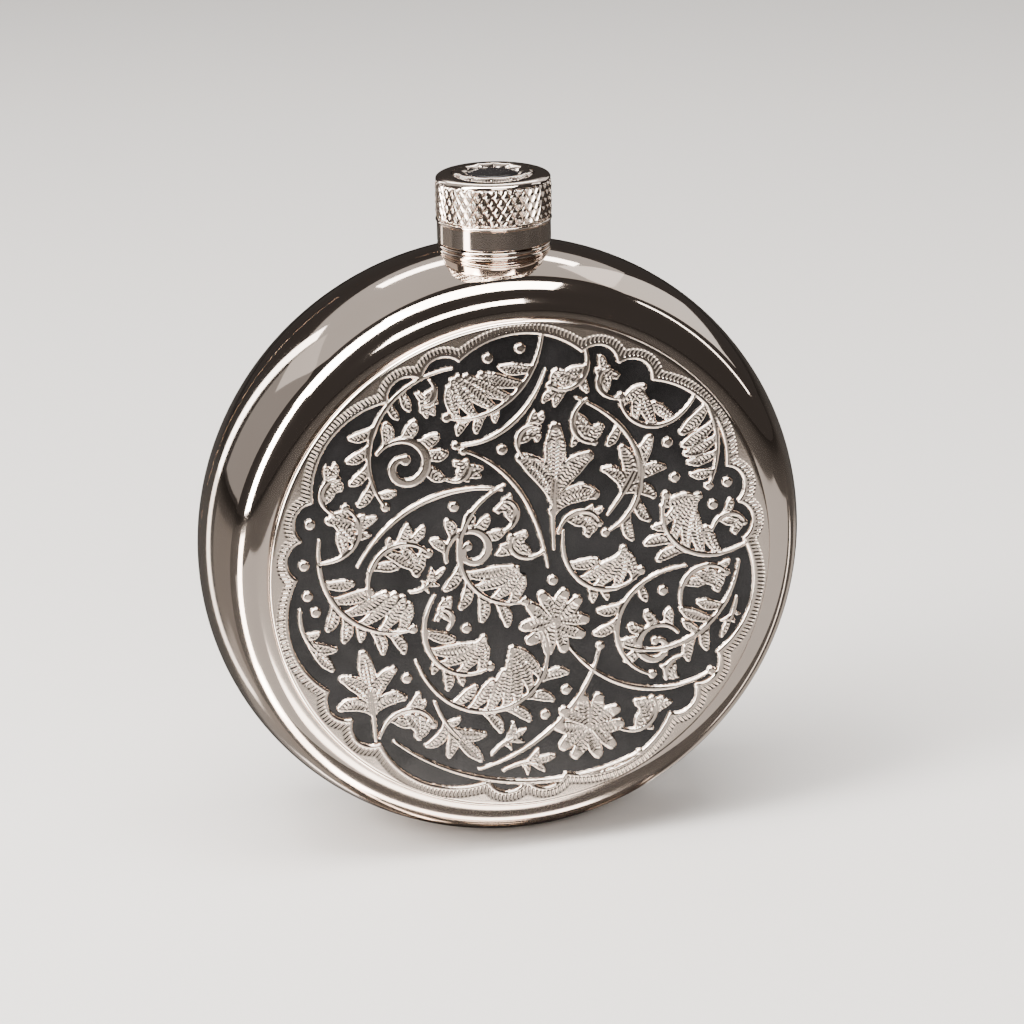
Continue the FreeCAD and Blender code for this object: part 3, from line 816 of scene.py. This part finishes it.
def enamel():
    """Black enamel, glossy, with a faint grey cloud and tiny ripples."""
    material, nodes, links, shader = new_material("black_enamel")
    cloud, wear = noise(nodes, links, 120.0, 4.0), noise(nodes, links, 260.0, 5.0)
    colour = tinted(nodes, links, cloud, (0.005, 0.0048, 0.005), (0.012, 0.0115, 0.012))
    links.new(colour, shader.inputs["Base Color"])
    links.new(between(nodes, links, wear, 0.12, 0.22), shader.inputs["Roughness"])
    shader.inputs["Coat Weight"].default_value = 0.3
    shader.inputs["Coat Roughness"].default_value = 0.06
    bumped(nodes, links, shader, noise(nodes, links, 420.0, 2.0), 0.00001)
    return material


def seal_material():
    """The seal's white food-grade rubber."""
    material, nodes, links, shader = new_material("seal_white")
    cloud, wear = noise(nodes, links, 300.0, 4.0), noise(nodes, links, 900.0, 4.0)
    colour = tinted(nodes, links, cloud, (0.72, 0.70, 0.66), (0.80, 0.79, 0.76))
    links.new(colour, shader.inputs["Base Color"])
    links.new(between(nodes, links, wear, 0.45, 0.6), shader.inputs["Roughness"])
    bumped(nodes, links, shader, noise(nodes, links, 2500.0, 2.0), 0.00002)
    return material


def paint(made, material):
    """Gives an object this one material."""
    made.data.materials.clear()
    made.data.materials.append(material)


# ---------------------------------------------------------------- the pieces
def add_piece(made, material, body, slot, *nodes):
    """Gives a piece its material and body, and hides the CAD nodes it stands for; slot is not used."""
    paint(made, material)
    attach(made, body)
    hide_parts(*nodes)


polished = metal("polished_silver", (0.965, 0.84, 0.745), (0.925, 0.795, 0.70), 0.035, 0.075, 0.0000012)
engraved = metal("engraved_silver", (0.97, 0.845, 0.745), (0.915, 0.78, 0.675), 0.09, 0.15, 0.000004, 1600.0)
knurled = metal("knurled_silver", (0.965, 0.845, 0.75), (0.91, 0.785, 0.695), 0.07, 0.14, 0.000002)
marks = (1.0, 1.0, 12.0)
steel = metal("neck_steel", (0.62, 0.61, 0.60), (0.55, 0.54, 0.53), 0.18, 0.30, 0.000004, 500.0, marks)
soldered = metal("solder", (0.60, 0.58, 0.55), (0.50, 0.48, 0.46), 0.25, 0.45, 0.00002)
black = enamel()
white_seal = seal_material()

add_piece(shell("front_shell_polished", -1), polished, "flask", "polished_silver", "front_shell")
add_piece(shell("back_shell_polished", 1), polished, "flask", "polished_silver", "back_shell")
add_piece(braze(), polished, "flask", "solder", "seam_braze")
add_piece(struck_plate(), engraved, "flask", "engraved_silver", "medallion_plate")
add_piece(collar(), knurled, "flask", "polished_silver", "neck_collar")
add_piece(cap(), knurled, "cap", "knurled_silver", "cap_shell")
add_piece(bezel(), knurled, "cap", "engraved_silver", "cap_bezel")
CAD_MATERIALS = {
    "ground_enamel": black,
    "cap_inlay": black,
    "neck": steel,
    "cap_insert": steel,
    "neck_solder": soldered,
    "cap_gasket": white_seal,
}
for node, material in CAD_MATERIALS.items():
    paint(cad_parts[node], material)


# ---------------------------------------------------------------- stage, light and camera
LIGHT_COLOUR = (1.0, 0.955, 0.91)
FLOOR_MIRRORED = 0.97


def floor():
    """A plain pale floor, which is a dark sheen in the flask's own reflections."""
    bpy.ops.mesh.primitive_plane_add(size=8.0, location=(0.0, 0.0, 0.0))
    made = bpy.context.object
    made.name = "studio_floor"
    material, nodes, links, shader = new_material("floor_pale")
    shader.inputs["Base Color"].default_value = (0.62, 0.61, 0.60, 1.0)
    shader.inputs["Roughness"].default_value = 0.5
    path, share = nodes.new("ShaderNodeLightPath"), nodes.new("ShaderNodeMath")
    sheen, mix = nodes.new("ShaderNodeBsdfAnisotropic"), nodes.new("ShaderNodeMixShader")
    share.operation = "MULTIPLY"
    share.inputs[1].default_value = FLOOR_MIRRORED
    sheen.inputs["Color"].default_value = (0.45, 0.43, 0.41, 1.0)
    sheen.inputs["Roughness"].default_value = 0.12
    links.new(path.outputs["Is Glossy Ray"], share.inputs[0])
    links.new(share.outputs["Value"], mix.inputs["Fac"])
    links.new(shader.outputs["BSDF"], mix.inputs[1])
    links.new(sheen.outputs["BSDF"], mix.inputs[2])
    links.new(mix.outputs["Shader"], nodes["Material Output"].inputs["Surface"])
    paint(made, material)


def softbox(name, place, target, width, height, power):
    """A rectangular area light at place that faces target."""
    lamp = bpy.data.lights.new(name, "AREA")
    lamp.shape, lamp.size, lamp.size_y = "RECTANGLE", width, height
    lamp.energy, lamp.color = power, LIGHT_COLOUR
    made = bpy.data.objects.new(name, lamp)
    made.location = place
    made.rotation_mode = "QUATERNION"
    made.rotation_quaternion = (Vector(target) - Vector(place)).to_track_quat("-Z", "Y")
    made.visible_camera = False
    bpy.context.scene.collection.objects.link(made)


def studio_world():
    """A pale studio that looks darker in reflections, as flags round the set would make it."""
    world = bpy.data.worlds.new("studio")
    world.use_nodes = True
    bpy.context.scene.world = world
    nodes, links = world.node_tree.nodes, world.node_tree.links
    nodes.clear()
    out = nodes.new("ShaderNodeOutputWorld")
    seen, mirrored = nodes.new("ShaderNodeBackground"), nodes.new("ShaderNodeBackground")
    seen.inputs["Color"].default_value = (0.80, 0.79, 0.78, 1.0)
    seen.inputs["Strength"].default_value = 0.55
    mirrored.inputs["Color"].default_value = (0.84, 0.76, 0.72, 1.0)
    mirrored.inputs["Strength"].default_value = 0.05
    path, mix = nodes.new("ShaderNodeLightPath"), nodes.new("ShaderNodeMixShader")
    links.new(path.outputs["Is Glossy Ray"], mix.inputs["Fac"])
    links.new(seen.outputs["Background"], mix.inputs[1])
    links.new(mirrored.outputs["Background"], mix.inputs[2])
    links.new(mix.outputs["Shader"], out.inputs["Surface"])


def camera(target, azimuth, elevation, roll, distance, lens):
    """The photograph's camera, which looks at target; its angles are in degrees."""
    a, e, tilt = math.radians(azimuth), math.radians(elevation), math.radians(roll)
    back = Vector((math.sin(a) * math.cos(e), -math.cos(a) * math.cos(e), math.sin(e)))
    right = Vector((math.cos(a), math.sin(a), 0.0))
    up = back.cross(right)
    turned_right = math.cos(tilt) * right + math.sin(tilt) * up
    turned_up = -math.sin(tilt) * right + math.cos(tilt) * up
    made = bpy.data.objects.new("camera", bpy.data.cameras.new("camera"))
    made.data.lens = lens
    facing = Matrix((turned_right, turned_up, back)).transposed().to_4x4()
    made.matrix_world = Matrix.Translation(Vector(target) + distance * back) @ facing
    bpy.context.scene.collection.objects.link(made)
    bpy.context.scene.camera = made


middle = (0.0, 0.0, CENTRE * MM)
floor()
studio_world()
# Each softbox faces the disc's middle: place, width, height, power. Last, a low card faces straight up.
SOFTBOXES = {
    "key_left": ((-0.8, -0.3, 0.42), 0.22, 0.8, 15.0),
    "overhead": ((-0.02, -0.15, 0.95), 0.85, 0.42, 19.0),
    "upper_left": ((-0.5, -0.2, 0.74), 0.34, 0.62, 14.0),
    "front_fill": ((0.0, -1.1, 0.66), 0.6, 0.26, 7.5),
    "grey_left": ((-0.9, 0.55, 0.45), 0.6, 0.8, 0.4),
    "back_left_strip": ((-0.55, 0.75, 0.3), 0.10, 0.7, 1.6),
    "grey_top": ((-0.10, 0.75, 0.95), 2.0, 0.8, 2.6),
    "back_top_strip": ((0.10, 0.62, 0.62), 0.6, 0.08, 1.4),
    "right_strip": ((0.85, 0.05, 0.5), 0.08, 0.6, 0.9),
    "grey_right": ((0.75, 0.6, 0.6), 0.5, 0.7, 1.0),
}
for name, (place, width, height, power) in SOFTBOXES.items():
    softbox(name, place, middle, width, height, power)
softbox("low_card", (0.04, -0.115, 0.003), (0.04, -0.115, 1.0), 0.5, 0.17, 0.13)
camera((0.00214, 0.0, CENTRE * MM + 0.00381), -12.88, 18.96, -1.02, 0.5346, 113.8)
